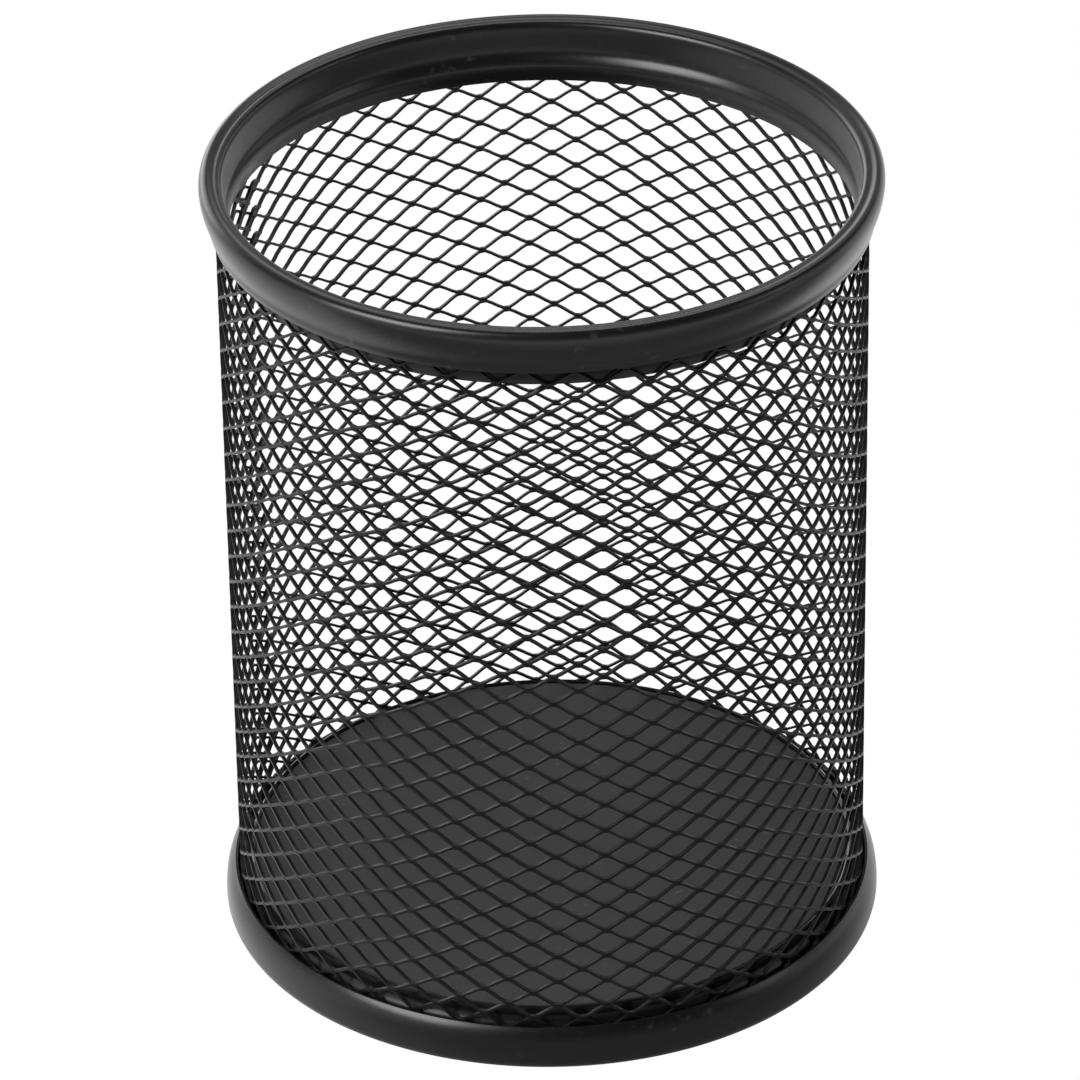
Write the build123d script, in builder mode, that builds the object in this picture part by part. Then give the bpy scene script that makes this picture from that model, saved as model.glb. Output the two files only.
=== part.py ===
"""Pen holder cup of expanded steel mesh with rolled steel rings at the rim and the base, in millimetres.

Origin at the centre of the underside, +Z up, the front of the cup towards -Y.
"""
import math
import os

from build123d import *

os.makedirs("parts", exist_ok=True)

# driving dimensions
height = 100.0
ring_radius = 40.0            # widest radius of the rim and of the base ring
sheet = 0.5                   # steel sheet of both rings
bend_radius = 0.3             # smoothing at each bend of the rolled section
mesh_radius = 38.3            # outside of the mesh wall
mesh_depth = 0.6
cells_around = 41
cell_rows = 27
cell_height = 3.516           # hole pitch up the wall
strand = 0.34                 # width of one mesh strand
mesh_bottom = 2.14
first_column = 0.5            # degrees from +X to the first column of holes
foot_flat = 0.16              # how far the base ring is pressed flat underneath
floor_sheet = 0.6
floor_flange = 2.6            # turned-down edge of the floor plate
floor_bend = 0.4
floor_fit = 0.02              # gap round the floor plate inside the base ring's skirt
weld_radius = 0.6
ring_welds = 12
seam_column = 18              # the column of the mesh where its two ends meet
seam_weld_step = 3            # rows from one seam weld to the next

mesh_inner = mesh_radius - mesh_depth
mesh_middle = mesh_radius - mesh_depth / 2
column_angle = 360.0 / cells_around
half_across = math.radians(column_angle) * mesh_middle / 2
hole_up = cell_height / 2 - strand / 2 * math.hypot(1, cell_height / 2 / half_across)
hole_across = hole_up * half_across / (cell_height / 2)
seam_weld_proud = 0.1
tiny = 1e-4

# rolled section shared by both rings, as radius and drop below the rim's top; the middle of the sheet;
# only the edge of the inner skirt differs, as the rim's flares back out towards the mesh
half_sheet = sheet / 2
wall_radius = mesh_inner - half_sheet
skirt_radius = wall_radius - 0.85
groove_radius = mesh_radius
rim_edge_radius = wall_radius - 0.25
rim_skirt = 7.8               # how far down the rim's inner skirt reaches
base_skirt = 6.8              # how far up the base ring's inner skirt reaches
wall_drop = 3.3               # the sheet lies flat against the mesh down to here, then steps in
lip_drop = 5.4
lip_gap = 0.05                # between the lip and the outside of the mesh
bead_radius = ring_radius - half_sheet
bead_middle = (groove_radius + bead_radius) / 2
lip_radius = mesh_radius + half_sheet + lip_gap

floor_top = base_skirt - foot_flat
floor_radius = skirt_radius - half_sheet - floor_fit
rim_weld_level = height - wall_drop
base_weld_level = wall_drop - foot_flat
floor_weld_level = floor_top - floor_flange / 2


def section_path(edge_radius, skirt_drop):
    """Middle of the rolled sheet, from the skirt's edge over the mesh to the outer lip."""
    return [
        (edge_radius, skirt_drop),
        (skirt_radius + 0.1, wall_drop + 2.0),
        (wall_radius - 0.1, wall_drop + 0.5),
        (wall_radius, wall_drop),
        (wall_radius, half_sheet + 1.2),
        (wall_radius + 0.35, half_sheet + 0.35),
        (groove_radius, half_sheet + 0.3),
        (bead_middle + 0.1, half_sheet),
        (bead_radius - 0.25, half_sheet + 0.4),
        (bead_radius, half_sheet + 1.2),
        (bead_radius - 0.3, half_sheet + 2.5),
        (bead_radius - 0.85, lip_drop - 1.45),
        (bead_radius - 0.95, lip_drop - 0.8),
        (lip_radius, lip_drop - 0.2),
    ]


def section_side(path, level, direction, shift):
    """One face of the rolled sheet, hung from a level; direction is -1 for the rim and 1 for the base."""
    points = []
    for index, (radius, drop) in enumerate(path):
        before = path[max(index - 1, 0)]
        after = path[min(index + 1, len(path) - 1)]
        run = math.dist(before, after)
        shifted_radius = radius - shift * (after[1] - before[1]) / run
        shifted_drop = drop + shift * (after[0] - before[0]) / run
        points.append((shifted_radius, level + direction * shifted_drop))
    return points


def cell_side(face):
    """Tell a mesh cell's own faces from the cut faces it shares with its neighbours."""
    middle = face.center()
    if face.geom_type != GeomType.PLANE:
        return "own"
    if abs(middle.Z) < tiny:
        return "bottom"
    if abs(middle.Z - cell_height) < tiny:
        return "top"
    turned = math.degrees(math.atan2(middle.Y, middle.X))
    shared = min(abs(turned), abs(turned - column_angle)) < tiny
    return "side" if shared else "own"


def radial_planes(spots, start):
    """Planes facing outward at a radius, one for each spot's angle and level."""
    planes = []
    for angle, level in spots:
        outward = Vector(1, 0, 0).rotate(Axis.Z, angle)
        planes.append(Plane(origin=outward * start + Vector(0, 0, level), z_dir=outward))
    return planes


# rim: the rolled section swept round, bead up, its channel over the top of the mesh
rim_path = section_path(rim_edge_radius, rim_skirt)
with BuildPart() as rim_ring:
    with BuildSketch(Plane.XZ):
        with BuildLine():
            outside = FilletPolyline(*section_side(rim_path, height, -1, -half_sheet), radius=bend_radius)
            inside = FilletPolyline(*section_side(rim_path, height, -1, half_sheet), radius=bend_radius)
            Line(outside @ 0, inside @ 0)
            Line(outside @ 1, inside @ 1)
        make_face()
    revolve(axis=Axis.Z)
rim_ring.part.label = "rim_ring"
export_step(rim_ring.part, "parts/rim_ring.step")

# base: the same section the other way up, pressed flat where it stands on the table
base_path = section_path(skirt_radius, base_skirt)
with BuildPart() as base_ring:
    with BuildSketch(Plane.XZ):
        with BuildLine():
            outside = FilletPolyline(*section_side(base_path, -foot_flat, 1, -half_sheet), radius=bend_radius)
            inside = FilletPolyline(*section_side(base_path, -foot_flat, 1, half_sheet), radius=bend_radius)
            Line(outside @ 0, inside @ 0)
            Line(outside @ 1, inside @ 1)
        make_face()
    revolve(axis=Axis.Z)
    split(bisect_by=Plane.XY, keep=Keep.TOP)
base_ring.part.label = "base_ring"
export_step(base_ring.part, "parts/base_ring.step")

# floor: a flat plate level with the top of the base ring's skirt, its edge turned down inside the skirt
with BuildPart() as floor_plate:
    with BuildSketch(Plane.XY.offset(floor_top - floor_flange)):
        Circle(floor_radius)
    extrude(amount=floor_flange)
    with BuildSketch(Plane.XY.offset(floor_top - floor_flange)):
        Circle(floor_radius - floor_sheet)
    extrude(amount=floor_flange - floor_sheet, mode=Mode.SUBTRACT)
    top_edge = floor_plate.edges().filter_by(GeomType.CIRCLE).group_by(Axis.Z)[-1]
    fillet(top_edge, floor_bend)
floor_plate.part.label = "floor_plate"
export_step(floor_plate.part, "parts/floor_plate.step")

# one cell of the mesh: a whole hole in the middle and a quarter of a hole at each corner
with BuildPart() as cell:
    with BuildSketch(Plane.XZ):
        with Locations((mesh_middle, cell_height / 2)):
            Rectangle(mesh_depth, cell_height)
    revolve(axis=Axis.Z, revolution_arc=column_angle)
    for angle, levels in ((0, (0, cell_height)), (column_angle / 2, (cell_height / 2,)),
                          (column_angle, (0, cell_height))):
        with BuildSketch(Plane.YZ.rotated((0, 0, angle)).offset(mesh_inner - mesh_depth)):
            with Locations(*[(0, level) for level in levels]):
                Polygon((0, hole_up), (hole_across, 0), (0, -hole_up), (-hole_across, 0), align=None)
        extrude(amount=3 * mesh_depth, mode=Mode.SUBTRACT)

# mesh wall: the cell's faces repeated round and up, then closed into one solid
sides = {}
for face in cell.part.faces():
    sides.setdefault(cell_side(face), []).append(face)
mesh_faces = []
for row in range(cell_rows):
    kept = list(sides["own"])
    if row == 0:
        kept += sides["bottom"]
    if row == cell_rows - 1:
        kept += sides["top"]
    for column in range(cells_around):
        place = Location((0, 0, mesh_bottom + row * cell_height), (0, 0, first_column + column * column_angle))
        mesh_faces += [face.moved(place) for face in kept]
with BuildPart() as mesh_wall:
    add(Solid(Shell(mesh_faces)), clean=False)
mesh_wall.part.label = "mesh_wall"
export_step(mesh_wall.part, "parts/mesh_wall.step", write_pcurves=False)

# weld spots that hold the rim to the bonds at the top edge of the mesh
weld_angles = [first_column + column_angle * (round(spot * cells_around / ring_welds) + 0.5)
               for spot in range(ring_welds)]
rim_spots = [(angle, rim_weld_level) for angle in weld_angles]
with BuildPart() as rim_welds:
    with BuildSketch(*radial_planes(rim_spots, mesh_inner - sheet)):
        Circle(weld_radius)
    extrude(amount=sheet + mesh_depth / 2)
rim_welds.part.label = "rim_welds"
export_step(rim_welds.part, "parts/rim_welds.step")

# weld spots that hold the base ring to the bonds at the bottom edge of the mesh
base_spots = [(angle, base_weld_level) for angle in weld_angles]
with BuildPart() as base_welds:
    with BuildSketch(*radial_planes(base_spots, mesh_inner - sheet)):
        Circle(weld_radius)
    extrude(amount=sheet + mesh_depth / 2)
base_welds.part.label = "base_welds"
export_step(base_welds.part, "parts/base_welds.step")

# weld spots that hold the floor plate's turned-down edge to the skirt of the base ring
floor_spots = [(angle, floor_weld_level) for angle in weld_angles]
with BuildPart() as floor_welds:
    with BuildSketch(*radial_planes(floor_spots, floor_radius - floor_sheet)):
        Circle(weld_radius)
    extrude(amount=floor_sheet + sheet)
floor_welds.part.label = "floor_welds"
export_step(floor_welds.part, "parts/floor_welds.step")

# weld spots down the seam where the two ends of the mesh meet
seam_angle = first_column + column_angle * seam_column
seam_spots = [(seam_angle, mesh_bottom + (row + 0.5) * cell_height)
              for row in range(seam_weld_step, cell_rows, seam_weld_step)]
with BuildPart() as seam_welds:
    with BuildSketch(*radial_planes(seam_spots, mesh_inner - seam_weld_proud)):
        Circle(weld_radius)
    extrude(amount=mesh_depth + 2 * seam_weld_proud)
seam_welds.part.label = "seam_welds"
export_step(seam_welds.part, "parts/seam_welds.step")
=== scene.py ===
"""Looks for the mesh pen holder cup: rolled rings, twisted mesh strands, powder coat, studio and camera.

Everything is in metres in the frame of the CAD model, the front of the cup towards -Y.
"""
import math

import bmesh
import bpy
from mathutils import Matrix, Vector


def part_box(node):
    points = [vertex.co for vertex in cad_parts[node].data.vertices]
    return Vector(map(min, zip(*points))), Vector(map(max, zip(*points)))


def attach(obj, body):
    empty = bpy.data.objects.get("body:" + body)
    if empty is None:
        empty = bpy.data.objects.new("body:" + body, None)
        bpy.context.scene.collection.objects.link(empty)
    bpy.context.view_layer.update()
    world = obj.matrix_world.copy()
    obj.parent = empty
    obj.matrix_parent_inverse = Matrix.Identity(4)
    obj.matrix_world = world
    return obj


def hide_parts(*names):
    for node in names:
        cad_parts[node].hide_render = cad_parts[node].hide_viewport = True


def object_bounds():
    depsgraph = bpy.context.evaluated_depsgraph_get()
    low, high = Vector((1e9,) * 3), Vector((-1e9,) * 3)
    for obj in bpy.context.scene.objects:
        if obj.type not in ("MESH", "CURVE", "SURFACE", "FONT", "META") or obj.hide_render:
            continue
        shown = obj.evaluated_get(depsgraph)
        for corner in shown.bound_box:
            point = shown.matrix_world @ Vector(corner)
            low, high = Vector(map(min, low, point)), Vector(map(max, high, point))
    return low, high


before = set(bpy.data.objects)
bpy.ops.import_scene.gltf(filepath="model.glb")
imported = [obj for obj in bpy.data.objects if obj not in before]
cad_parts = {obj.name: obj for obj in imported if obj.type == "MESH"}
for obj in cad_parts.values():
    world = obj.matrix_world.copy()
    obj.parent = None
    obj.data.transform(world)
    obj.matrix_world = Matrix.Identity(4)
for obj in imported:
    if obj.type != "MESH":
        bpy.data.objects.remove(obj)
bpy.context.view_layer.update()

BODY = "cup"
MM = 0.001

# sizes taken from the CAD nodes
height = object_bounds()[1].z
rim_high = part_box("rim_ring")[1]
base_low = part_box("base_ring")[0]
ring_radius = rim_high.x
mesh_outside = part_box("mesh_wall")[1].x
middle = Vector((0, 0, height / 2))


# ---------------------------------------------------------------- node helpers

class Value:
    """A number socket, so that shader maths can be written as Python expressions."""

    def __init__(self, tree, socket):
        self.tree = tree
        self.socket = socket

    def math(self, operation, first, second):
        node = self.tree.nodes.new("ShaderNodeMath")
        node.operation = operation
        for slot, value in zip(node.inputs, (first, second)):
            plug(self.tree, slot, value)
        return Value(self.tree, node.outputs[0])

    def __add__(self, other):
        return self.math("ADD", self, other)

    def __radd__(self, other):
        return self.math("ADD", other, self)

    def __sub__(self, other):
        return self.math("SUBTRACT", self, other)

    def __rsub__(self, other):
        return self.math("SUBTRACT", other, self)

    def __mul__(self, other):
        return self.math("MULTIPLY", self, other)

    def __rmul__(self, other):
        return self.math("MULTIPLY", other, self)

    def __truediv__(self, other):
        return self.math("DIVIDE", self, other)


def plug(tree, slot, value):
    """Links a value to a socket, or sets the socket to a plain number, vector or colour."""
    if isinstance(value, Value):
        value = value.socket
    if isinstance(value, bpy.types.NodeSocket):
        tree.links.new(value, slot)
    else:
        slot.default_value = value


class Nodes:
    """Adds nodes to one tree: settings first, then the values or links of the sockets."""

    def __init__(self, tree):
        self.tree = tree

    def add(self, kind, settings=None, sockets=None):
        node = self.tree.nodes.new(kind)
        for name, value in (settings or {}).items():
            setattr(node, name, value)
        for name, value in (sockets or {}).items():
            plug(self.tree, node.inputs[name], value)
        return node

    def value(self, node, output=0):
        return Value(self.tree, node.outputs[output])


# ---------------------------------------------------------------- powder coat finishes

CLOUD_SIZE = 14 * MM
SPECKLE_SIZE = 0.9 * MM
DUST_SIZE = 1.6 * MM
DUST_COLOUR = (0.16, 0.16, 0.165, 1)
DUST_ROUGHNESS = 0.3              # what full dust adds to the roughness
MIX_FIRST, MIX_SECOND, MIX_RESULT = 6, 7, 2    # the Mix node's colour sockets go by number


def powder_coat(name, colour, gloss, grain, grain_depth, wear, shine=0.5):
    """Baked powder coat: pigment mottle, orange-peel grain, gloss that wanders, and faint rubbed dust.

    colour is dark and light pigment, gloss the roughness low and high, grain and grain_depth the peel's
    size and depth in metres, wear how much dust shows, and shine the strength of the reflections.
    """
    material = bpy.data.materials.new(name)
    material.use_nodes = True
    tree = material.node_tree
    tree.nodes.clear()
    nodes = Nodes(tree)
    place = nodes.add("ShaderNodeTexCoord").outputs["Object"]

    def noise(size, detail=3.0):
        node = nodes.add("ShaderNodeTexNoise", {"noise_dimensions": "3D"},
                         {"Vector": place, "Scale": 1 / size, "Detail": detail, "Roughness": 0.55})
        return nodes.value(node, "Fac")

    def ramp(value, low, high):
        node = nodes.add("ShaderNodeMapRange", {"interpolation_type": "SMOOTHSTEP"},
                         {"Value": value, "From Min": low, "From Max": high})
        return nodes.value(node, "Result")

    cloudy = noise(CLOUD_SIZE)
    speckle = noise(SPECKLE_SIZE, detail=2.0)
    peel = noise(grain)
    fine_peel = noise(grain / 4, detail=1.0)
    dust = ramp(noise(DUST_SIZE, detail=5.0), 0.60, 0.74) * ramp(cloudy, 0.42, 0.62)

    pigment = nodes.add("ShaderNodeMix", {"data_type": "RGBA"}, {
        "Factor": cloudy * 0.6 + speckle * 0.4, MIX_FIRST: colour[0], MIX_SECOND: colour[1]})
    rubbed = nodes.add("ShaderNodeMix", {"data_type": "RGBA"}, {
        "Factor": dust * wear, MIX_FIRST: pigment.outputs[MIX_RESULT], MIX_SECOND: DUST_COLOUR})
    gloss_range = (gloss[1] - gloss[0]) * (cloudy * 0.5 + speckle * 0.5)
    roughness = gloss[0] + gloss_range + dust * wear * DUST_ROUGHNESS
    bump = nodes.add("ShaderNodeBump", None, {
        "Strength": 1.0, "Distance": grain_depth, "Height": peel * 0.75 + fine_peel * 0.25})
    coat = nodes.add("ShaderNodeBsdfPrincipled", None, {
        "Base Color": rubbed.outputs[MIX_RESULT], "Roughness": roughness, "Normal": bump.outputs[0],
        "Metallic": 0.0, "Specular IOR Level": shine})
    output = nodes.add("ShaderNodeOutputMaterial", None, {"Surface": coat.outputs[0]})
    output.is_active_output = True
    return material


def black(low, high):
    """Two nearly neutral blacks, a trace warmer in the dark."""
    return ((low, low, low * 0.97, 1), (high, high, high, 1))


ring_coat = powder_coat("satin_black_ring_coat", black(0.004, 0.009), gloss=(0.25, 0.34),
                        grain=0.30 * MM, grain_depth=0.005 * MM, wear=0.20)
mesh_coat = powder_coat("satin_black_mesh_coat", black(0.004, 0.009), gloss=(0.36, 0.50),
                        grain=0.22 * MM, grain_depth=0.010 * MM, wear=0.20, shine=0.32)
floor_coat = powder_coat("matt_black_floor_coat", black(0.020, 0.038), gloss=(0.50, 0.62),
                         grain=0.45 * MM, grain_depth=0.016 * MM, wear=0.40)
weld_coat = powder_coat("black_weld_coat", black(0.004, 0.009), gloss=(0.40, 0.55),
                        grain=0.18 * MM, grain_depth=0.015 * MM, wear=0.10)


# ---------------------------------------------------------------- rolled rings

# the middle of the rolled sheet in millimetres, as how far in from the ring's widest radius and how far down
SHEET = 0.5 * MM
RIM_SKIRT = [(2.78, 7.80), (2.92, 7.20), (3.16, 6.50), (3.32, 5.90), (3.30, 5.45)]
BASE_SKIRT = [(3.40, 6.75), (3.39, 6.20), (3.36, 5.55)]
CHANNEL = [
    (3.10, 5.00), (2.72, 4.45), (2.56, 3.80), (2.55, 2.80), (2.55, 1.40), (2.46, 0.75), (2.16, 0.46),
    (1.70, 0.56), (1.30, 0.46), (0.85, 0.26), (0.48, 0.46), (0.27, 0.95), (0.26, 1.55)]
RIM_LIP = [(0.40, 2.45), (0.68, 3.35), (0.96, 4.05), (1.12, 4.55), (1.18, 5.05), (1.36, 5.60)]
BASE_LIP = [(0.28, 2.20), (0.38, 3.10), (0.62, 3.95), (0.98, 4.65), (1.38, 5.15)]
SMOOTHINGS = 2
RING_STEPS = 180
SHARP_ANGLE = math.radians(55)


def cut_corners(points):
    """One round of corner cutting, which keeps the two ends."""
    smooth = [points[0]]
    for here, there in zip(points, points[1:]):
        smooth.append(here.lerp(there, 0.25))
        smooth.append(here.lerp(there, 0.75))
    smooth.append(points[-1])
    return smooth


def sheet_outline(section):
    """The closed outline of the rolled sheet, as radius and drop in metres, with softened edges."""
    line = [Vector((ring_radius - inset * MM, drop * MM)) for inset, drop in section]
    for _ in range(SMOOTHINGS):
        line = cut_corners(line)
    left, right = [], []
    for index, point in enumerate(line):
        along = (line[min(index + 1, len(line) - 1)] - line[max(index - 1, 0)]).normalized()
        across = Vector((along.y, -along.x)) * SHEET / 2
        left.append(point + across)
        right.append(point - across)
    ends = [line[0] - (line[1] - line[0]).normalized() * SHEET / 3,
            line[-1] + (line[-1] - line[-2]).normalized() * SHEET / 3]
    return left + [ends[1]] + right[::-1] + [ends[0]]


def turned(name, outline, material):
    """A ring whose outline, given as radius and level, is turned about Z."""
    count = len(outline)
    verts = []
    for step in range(RING_STEPS):
        angle = math.tau * step / RING_STEPS
        verts += [(radius * math.cos(angle), radius * math.sin(angle), level) for radius, level in outline]
    faces = []
    for step in range(RING_STEPS):
        here, there = step * count, (step + 1) % RING_STEPS * count
        for index in range(count):
            after = (index + 1) % count
            faces.append((here + index, here + after, there + after, there + index))
    mesh = bpy.data.meshes.new(name)
    mesh.from_pydata(verts, [], faces)
    return finished(name, mesh, material)


def finished(name, mesh, material):
    """Puts a mesh in the scene, smooth, facing outwards, with its finish."""
    bm = bmesh.new()
    bm.from_mesh(mesh)
    bmesh.ops.remove_doubles(bm, verts=bm.verts, dist=1e-7)
    bmesh.ops.recalc_face_normals(bm, faces=bm.faces)
    bm.to_mesh(mesh)
    bm.free()
    mesh.shade_smooth()
    mesh.set_sharp_from_angle(angle=SHARP_ANGLE)
    mesh.materials.clear()
    mesh.materials.append(material)
    piece = bpy.data.objects.new(name, mesh)
    bpy.context.scene.collection.objects.link(piece)
    return piece


rim_outline = sheet_outline(RIM_SKIRT + CHANNEL + RIM_LIP)
base_outline = sheet_outline(BASE_SKIRT + CHANNEL + BASE_LIP)
lowest_drop = min(drop for _, drop in rim_outline)
rim_levels = [(radius, rim_high.z - drop + lowest_drop) for radius, drop in rim_outline]
rim = turned("rolled_rim", rim_levels, ring_coat)
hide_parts("rim_ring")
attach(rim, BODY)
base_levels = [(radius, base_low.z + drop - lowest_drop) for radius, drop in base_outline]
base = turned("rolled_base", base_levels, ring_coat)
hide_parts("base_ring")
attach(base, BODY)


# ---------------------------------------------------------------- expanded mesh wall

STRAND_WIDTH = 0.31 * MM
STRAND_DEPTH = 0.40 * MM
STRAND_TWIST = math.radians(6)
STRAND_SLOPE = 4 * 1.5            # a zigzag of height 1.5, which is cut off level at the bonds at 1
STRAND_LEAN = 0.12                # how much the strand thins and thickens along each cell
STRAND_MIDDLE = 0.30 * MM         # from the outside of the mesh to the middle of its strands
BOND_LIFT = 0.37 * MM             # between the middles of two strands where they bond
CELLS_AROUND = 40.6
LAP_CELLS = 0.9
POINTS_PER_CELL = 8
ROW_LIFT = 1.758 * MM
ROWS = 54
LOWEST_ROW = 5.358 * MM
SEAM_TURN = -206.26               # degrees from +X to the inner end of the sheet
LAP_STEP = 0.45 * MM              # how far the inner end lies inside the outer end
LAP_RISE = (1.5, 3.0)             # the cells between which the inner end steps back out to the wall
RING_CLEARANCE = 0.8 * MM         # from the ends of the cup to the edges of the mesh
# how the rows sag round the wall: degrees and millimetres
ROW_WANDER = [
    (-215, -0.6), (-175, 0.1), (-135, 0.0), (-119, -0.95), (-103, -1.5), (-79, -2.1), (-47, -2.6),
    (0, -1.3), (25, -1.0), (50, -1.47), (80, -1.70), (98, -2.37), (110, -3.07), (125, -3.50), (175, -3.5)]


def wander(nodes, angle):
    """The sag of the rows at an angle, from a smooth curve through ROW_WANDER."""
    first, last = ROW_WANDER[0][0], ROW_WANDER[-1][0]
    lowest = min(sag for _, sag in ROW_WANDER)
    highest = max(sag for _, sag in ROW_WANDER)
    share = (angle * (180 / math.pi) - first) / (last - first)
    curve = nodes.add("ShaderNodeFloatCurve", None, {"Value": share})
    points = curve.mapping.curves[0].points
    places = [((turn - first) / (last - first), (sag - lowest) / (highest - lowest))
              for turn, sag in ROW_WANDER]
    points[0].location, points[1].location = places[0], places[-1]
    for place in places[1:-1]:
        points.new(*place)
    curve.mapping.update()
    return nodes.value(curve) * ((highest - lowest) * MM) + lowest * MM


def strand_tree():
    """Geometry Nodes for expanded mesh: one zigzag strand, stacked row on row, then rolled to a cylinder."""
    tree = bpy.data.node_groups.new("expanded_mesh_roll", "GeometryNodeTree")
    face = tree.interface
    face.new_socket("Geometry", in_out="INPUT", socket_type="NodeSocketGeometry")
    for name in ("Cell", "Lift", "Swing", "Width", "Depth", "Twist", "Radius", "First row", "Seam angle",
                 "Lap step", "Lean", "Lowest", "Highest"):
        face.new_socket(name, in_out="INPUT", socket_type="NodeSocketFloat")
    for name in ("Points", "Points per cell", "Rows"):
        face.new_socket(name, in_out="INPUT", socket_type="NodeSocketInt")
    face.new_socket("Finish", in_out="INPUT", socket_type="NodeSocketMaterial")
    face.new_socket("Geometry", in_out="OUTPUT", socket_type="NodeSocketGeometry")

    nodes = Nodes(tree)
    given = nodes.add("NodeGroupInput").outputs

    def number(name):
        return Value(tree, given[name])

    def sine(value):
        return nodes.value(nodes.add("ShaderNodeMath", {"operation": "SINE"}, {0: value}))

    def cosine(value):
        return nodes.value(nodes.add("ShaderNodeMath", {"operation": "COSINE"}, {0: value}))

    def vector(x=0.0, y=0.0, z=0.0):
        return nodes.add("ShaderNodeCombineXYZ", None, {"X": x, "Y": y, "Z": z}).outputs[0]

    def smooth_step(value, low, high, start, end):
        node = nodes.add("ShaderNodeMapRange", {"interpolation_type": "SMOOTHSTEP"}, {
            "Value": value, "From Min": low, "From Max": high, "To Min": start, "To Max": end})
        return nodes.value(node)

    # one strand, flat, along X; the tops and bottoms of its zigzag are level where it bonds
    index = nodes.value(nodes.add("GeometryNodeInputIndex"))
    spacing = number("Cell") / number("Points per cell")
    line = nodes.add("GeometryNodeMeshLine", {"mode": "OFFSET"}, {
        "Count": number("Points"), "Offset": vector(x=spacing)})
    phase = (index + 0.5) / number("Points per cell")
    ramp = nodes.value(nodes.add("ShaderNodeMath", {"operation": "PINGPONG"}, {0: phase + 0.25, 1: 0.5}))
    swing = nodes.add("ShaderNodeClamp", None, {
        "Value": (ramp - 0.25) * STRAND_SLOPE, "Min": -1.0, "Max": 1.0})
    zigzag = nodes.add("GeometryNodeSetPosition", None, {
        "Geometry": nodes.add("GeometryNodeMeshToCurve", None, {"Mesh": line.outputs[0]}).outputs[0],
        "Offset": vector(z=nodes.value(swing) * number("Swing"))})
    upright = nodes.add("GeometryNodeSetCurveNormal", {"mode": "Z_UP"}, {"Curve": zigzag.outputs[0]})
    falling = nodes.value(nodes.add("ShaderNodeMath", {"operation": "COSINE"}, {0: phase * math.tau}))
    thicker = nodes.add("GeometryNodeSetCurveRadius", None, {
        "Curve": upright.outputs[0], "Radius": 1.0 - falling * number("Lean")})
    profile = nodes.add("GeometryNodeCurvePrimitiveQuadrilateral", {"mode": "RECTANGLE"}, {
        "Width": number("Depth"), "Height": number("Width")})
    twisted = nodes.add("GeometryNodeTransform", None, {
        "Geometry": profile.outputs[0], "Rotation": vector(z=number("Twist"))})
    strand = nodes.add("GeometryNodeCurveToMesh", None, {
        "Curve": thicker.outputs[0], "Profile Curve": twisted.outputs[0], "Fill Caps": True})

    # rows of strands, every other one half a cell along
    rows = nodes.add("GeometryNodeMeshLine", {"mode": "OFFSET"}, {
        "Count": number("Rows"), "Offset": vector(z=number("Lift"))})
    odd = nodes.value(nodes.add("ShaderNodeMath", {"operation": "MODULO"}, {0: index, 1: 2.0}))
    staggered = nodes.add("GeometryNodeSetPosition", None, {
        "Geometry": rows.outputs[0], "Offset": vector(x=odd * number("Cell") * 0.5)})
    stacked = nodes.add("GeometryNodeInstanceOnPoints", None, {
        "Points": staggered.outputs[0], "Instance": strand.outputs[0]})
    flat = nodes.add("GeometryNodeRealizeInstances", None, {"Geometry": stacked.outputs[0]})

    # roll the flat sheet up; its first cells lie inside its last ones at the seam
    spot = nodes.add("ShaderNodeSeparateXYZ", None, {
        "Vector": nodes.add("GeometryNodeInputPosition").outputs[0]}).outputs
    along, through, up = (Value(tree, spot[axis]) for axis in "XYZ")
    angle = along / number("Radius") + number("Seam angle")
    inset = smooth_step(
        along, number("Cell") * LAP_RISE[0], number("Cell") * LAP_RISE[1], number("Lap step"), 0.0)
    radius = number("Radius") - through - inset
    level = nodes.add("ShaderNodeClamp", None, {
        "Value": up + wander(nodes, angle) + number("First row"),
        "Min": number("Lowest"), "Max": number("Highest")})
    rolled = nodes.add("GeometryNodeSetPosition", None, {
        "Geometry": flat.outputs[0],
        "Position": vector(radius * cosine(angle), radius * sine(angle), nodes.value(level))})
    smooth = nodes.add("GeometryNodeSetShadeSmooth", None, {"Geometry": rolled.outputs[0]})
    coated = nodes.add("GeometryNodeSetMaterial", None, {
        "Geometry": smooth.outputs[0], "Material": given["Finish"]})
    nodes.add("NodeGroupOutput", None, {"Geometry": coated.outputs[0]})
    return tree


def grown(name, tree, values, material):
    """Runs a Geometry Nodes tree with named inputs and keeps the result as a plain mesh."""
    seed = bpy.data.objects.new(name + "_seed", bpy.data.meshes.new(name + "_seed"))
    bpy.context.scene.collection.objects.link(seed)
    modifier = seed.modifiers.new(name, "NODES")
    modifier.node_group = tree
    for item in tree.interface.items_tree:
        if item.in_out == "INPUT" and item.name in values:
            modifier[item.identifier] = values[item.name]
    depsgraph = bpy.context.evaluated_depsgraph_get()
    mesh = bpy.data.meshes.new_from_object(seed.evaluated_get(depsgraph))
    seed.modifiers.remove(modifier)
    bpy.data.objects.remove(seed)
    return finished(name, mesh, material)


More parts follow.
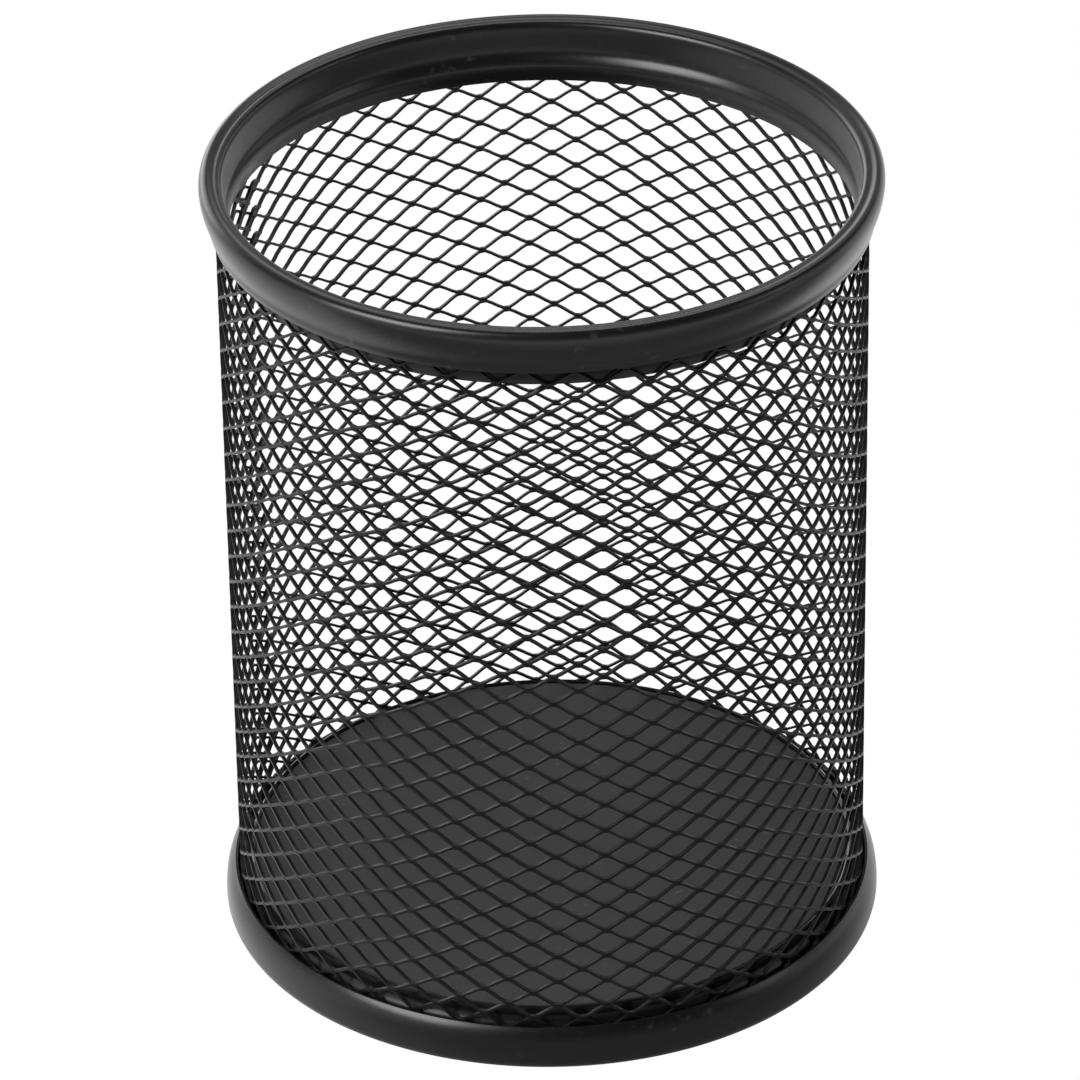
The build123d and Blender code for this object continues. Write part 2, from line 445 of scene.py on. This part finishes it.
mesh_radius = mesh_outside - STRAND_MIDDLE
cell = math.tau * mesh_radius / CELLS_AROUND
wall_values = {
    "Cell": cell, "Lift": ROW_LIFT, "Swing": (ROW_LIFT - BOND_LIFT) / 2, "Width": STRAND_WIDTH,
    "Depth": STRAND_DEPTH, "Twist": STRAND_TWIST, "Radius": mesh_radius, "First row": LOWEST_ROW,
    "Seam angle": math.radians(SEAM_TURN), "Lap step": LAP_STEP, "Lean": STRAND_LEAN,
    "Lowest": base_low.z + RING_CLEARANCE, "Highest": rim_high.z - RING_CLEARANCE,
    "Points": round((CELLS_AROUND + LAP_CELLS) * POINTS_PER_CELL) + 1,
    "Points per cell": POINTS_PER_CELL, "Rows": ROWS, "Finish": mesh_coat}
wall = grown("expanded_mesh_wall", strand_tree(), wall_values, mesh_coat)
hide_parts("mesh_wall")
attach(wall, BODY)


# ---------------------------------------------------------------- CAD nodes that stay

def refinish(node, material):
    """Gives a CAD node its finish through its own material slots."""
    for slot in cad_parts[node].material_slots:
        slot.material = material


refinish("floor_plate", floor_coat)
for welds in ("rim_welds", "base_welds", "floor_welds", "seam_welds"):
    refinish(welds, weld_coat)


# ---------------------------------------------------------------- studio

BRIGHT_SIDE = (-0.35, 0.94, 0)    # the studio is brightest behind the cup, and a little to its left


def studio_world():
    """White for the camera; for the light, a horizon that is bright behind the cup and a dim ceiling."""
    world = bpy.data.worlds.new("pale_studio")
    bpy.context.scene.world = world
    world.use_nodes = True
    tree = world.node_tree
    tree.nodes.clear()
    nodes = Nodes(tree)
    direction = nodes.add("ShaderNodeTexCoord").outputs["Generated"]
    rise = nodes.add("ShaderNodeSeparateXYZ", None, {"Vector": direction}).outputs["Z"]
    horizon = nodes.add("ShaderNodeMapRange", {"interpolation_type": "SMOOTHSTEP"}, {
        "Value": rise, "From Min": 0.12, "From Max": 0.5, "To Min": 1.0, "To Max": 0.12})
    seen = nodes.value(nodes.add("ShaderNodeLightPath"), "Is Camera Ray")
    back_left = nodes.add("ShaderNodeVectorMath", {"operation": "DOT_PRODUCT"}, {
        0: direction, 1: BRIGHT_SIDE})
    facing = nodes.add("ShaderNodeMapRange", {"interpolation_type": "SMOOTHSTEP"}, {
        "Value": back_left.outputs["Value"], "From Min": -0.85, "From Max": 0.1,
        "To Min": 0.18, "To Max": 1.0})
    strength = nodes.value(horizon) * nodes.value(facing) * (1 - seen) + seen * 1.05
    shade = nodes.add("ShaderNodeBackground", None, {"Color": (1, 1, 1, 1), "Strength": strength})
    nodes.add("ShaderNodeOutputWorld", None, {"Surface": shade.outputs[0]})


def softbox(name, azimuth, elevation, size, brightness):
    """A square soft light aimed at the cup's middle; azimuth 0 is on the camera's side, 90 on its right."""
    distance = 11 * height
    data = bpy.data.lights.new(name, "AREA")
    data.shape = "SQUARE"
    data.size = size
    data.energy = brightness * math.pi * size ** 2
    light = bpy.data.objects.new(name, data)
    turn, rise = math.radians(azimuth), math.radians(elevation)
    towards = Vector((math.sin(turn) * math.cos(rise), -math.cos(turn) * math.cos(rise), math.sin(rise)))
    light.location = middle + towards * distance
    light.rotation_euler = towards.to_track_quat("Z", "Y").to_euler()
    bpy.context.scene.collection.objects.link(light)


def pale_floor():
    """A wide table under the cup: white for the camera; for the light, a glow that is dim in front."""
    material = bpy.data.materials.new("pale_table")
    material.use_nodes = True
    tree = material.node_tree
    tree.nodes.clear()
    nodes = Nodes(tree)
    place = nodes.add("ShaderNodeTexCoord").outputs["Object"]
    back_left = nodes.add("ShaderNodeVectorMath", {"operation": "DOT_PRODUCT"}, {
        0: place, 1: BRIGHT_SIDE})
    shade = nodes.add("ShaderNodeMapRange", {"interpolation_type": "SMOOTHSTEP"}, {
        "Value": back_left.outputs["Value"], "From Min": -1.1 * ring_radius, "From Max": 0.1 * ring_radius,
        "To Min": 0.30, "To Max": 1.2})
    far_front = nodes.add("ShaderNodeMapRange", {"interpolation_type": "SMOOTHSTEP"}, {
        "Value": back_left.outputs["Value"], "From Min": -5.0 * ring_radius, "From Max": -3.2 * ring_radius,
        "To Min": 0.55, "To Max": 0.0})
    seen = nodes.value(nodes.add("ShaderNodeLightPath"), "Is Camera Ray")
    strength = (nodes.value(shade) + nodes.value(far_front)) * (1 - seen) + seen
    glow = nodes.add("ShaderNodeEmission", None, {"Color": (1, 1, 1, 1), "Strength": strength})
    nodes.add("ShaderNodeOutputMaterial", None, {"Surface": glow.outputs[0]})
    reach = 40 * ring_radius
    mesh = bpy.data.meshes.new("table")
    mesh.from_pydata([(-reach, -reach, 0), (reach, -reach, 0), (reach, reach, 0), (-reach, reach, 0)],
                     [], [(0, 1, 2, 3)])
    mesh.materials.append(material)
    table = bpy.data.objects.new("table", mesh)
    bpy.context.scene.collection.objects.link(table)


def camera():
    """A long lens from the front and above, turned a trace about its own axis."""
    elevation = math.radians(30.845)
    roll = math.radians(-0.831)
    distance = 0.8844
    data = bpy.data.cameras.new("camera")
    data.sensor_width = 36
    data.lens = 246.1
    data.shift_x = -0.0064
    data.shift_y = -0.0041
    data.clip_end = 20
    eye = bpy.data.objects.new("camera", data)
    away = Vector((0, -math.cos(elevation), math.sin(elevation)))
    eye.matrix_world = (Matrix.Translation(middle + away * distance)
                        @ away.to_track_quat("Z", "Y").to_matrix().to_4x4()
                        @ Matrix.Rotation(roll, 4, "Z"))
    bpy.context.scene.collection.objects.link(eye)
    bpy.context.scene.camera = eye


studio_world()
softbox("key_left_front", -54, 40, 0.62, 9.0)
softbox("overhead_back", 170, 55, 0.50, 2.5)
softbox("left_back", -150, 12, 0.80, 2.2)
softbox("right", 80, 25, 0.35, 1.5)
pale_floor()
camera()
bpy.context.scene.view_settings.view_transform = "Standard"
